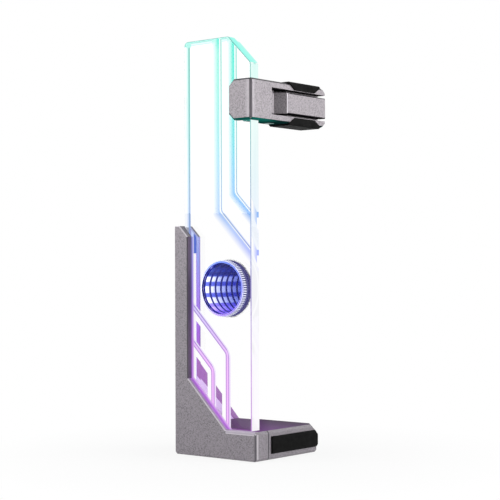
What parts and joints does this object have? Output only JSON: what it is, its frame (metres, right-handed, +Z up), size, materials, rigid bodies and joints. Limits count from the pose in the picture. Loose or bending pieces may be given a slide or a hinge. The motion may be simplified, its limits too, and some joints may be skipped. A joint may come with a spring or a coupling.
{
  "type": "graphics card support bracket",
  "caption": "Free-standing support with a lit clear panel, a mirrored ring and a rubber-padded arm that slides on the panel and is locked by a cam lever.",
  "frame": {"origin": "middle of the rubber mat's face under the foot", "axes": "+Z up, +X along the light panel towards the foot's end pad, +Y away from the viewer along the arm"},
  "size_m": [0.0579, 0.0661, 0.2254],
  "materials": {
    "body_metal": "satin metallic paint with a fine grain",
    "arm_metal": "satin metallic paint with a fine grain",
    "clear_panel": "clear polished acrylic with frosted grooves",
    "rubber_black": "matt black rubber",
    "steel": "bright zinc plated steel",
    "ring_metal": "knurled anodised aluminium",
    "window": "half mirrored clear plastic",
    "ring_glow": "translucent plastic, lit from outside",
    "ring_mirror": "silvered plastic",
    "dark_plastic": "matt black plastic",
    "strip_film": "white flexible circuit film",
    "led": "white light emitting pieces",
    "board": "green solder mask",
    "magnet": "nickel plated magnet"
  },
  "bodies": {
    "base": {"near_shell": "body_metal", "far_shell": "body_metal", "bottom_cover": "body_metal", "base_mat": "rubber_black", "bottom_screws": "steel", "shell_screws": "steel", "foot_magnets": "magnet", "ballast_plate": "steel", "end_pad": "rubber_black", "power_socket": "dark_plastic", "control_board": "board", "light_panel": "clear_panel", "spine_strip": "strip_film", "spine_leds": "led", "foot_strip": "strip_film", "foot_leds": "led", "ring_bezel": "ring_metal", "ring_lens": "window", "ring_liner": "ring_glow", "ring_mirror": "ring_mirror", "ring_strip": "strip_film", "ring_leds": "led", "ring_cap": "dark_plastic"},
    "arm": {"arm_body": "arm_metal", "jaw_liner": "rubber_black", "arm_top_pad": "rubber_black", "arm_bottom_pad": "rubber_black", "lever_pin": "steel"},
    "lever": {"clamp_lever": "arm_metal"},
    "shoe": {"pressure_shoe": "dark_plastic", "shoe_pad": "rubber_black"}
  },
  "joints": [
    {"name": "arm_slide", "type": "slide", "parent": "base", "child": "arm", "axis": [0, 0, 1], "range_m": [-0.072, 0.008]},
    {"name": "lever_turn", "type": "hinge", "parent": "arm", "child": "lever", "pos_m": [0.0177, -0.0013, 0.1907], "axis": [0, 0, -1], "range_deg": [0, 75]},
    {"name": "shoe_slide", "type": "slide", "parent": "arm", "child": "shoe", "axis": [0, 1, 0], "range_m": [0, 0.0006]}
  ],
  "couplings": [
    {"joint": "shoe_slide", "follows": "lever_turn", "m_per_rad": 0.000381}
  ]
}
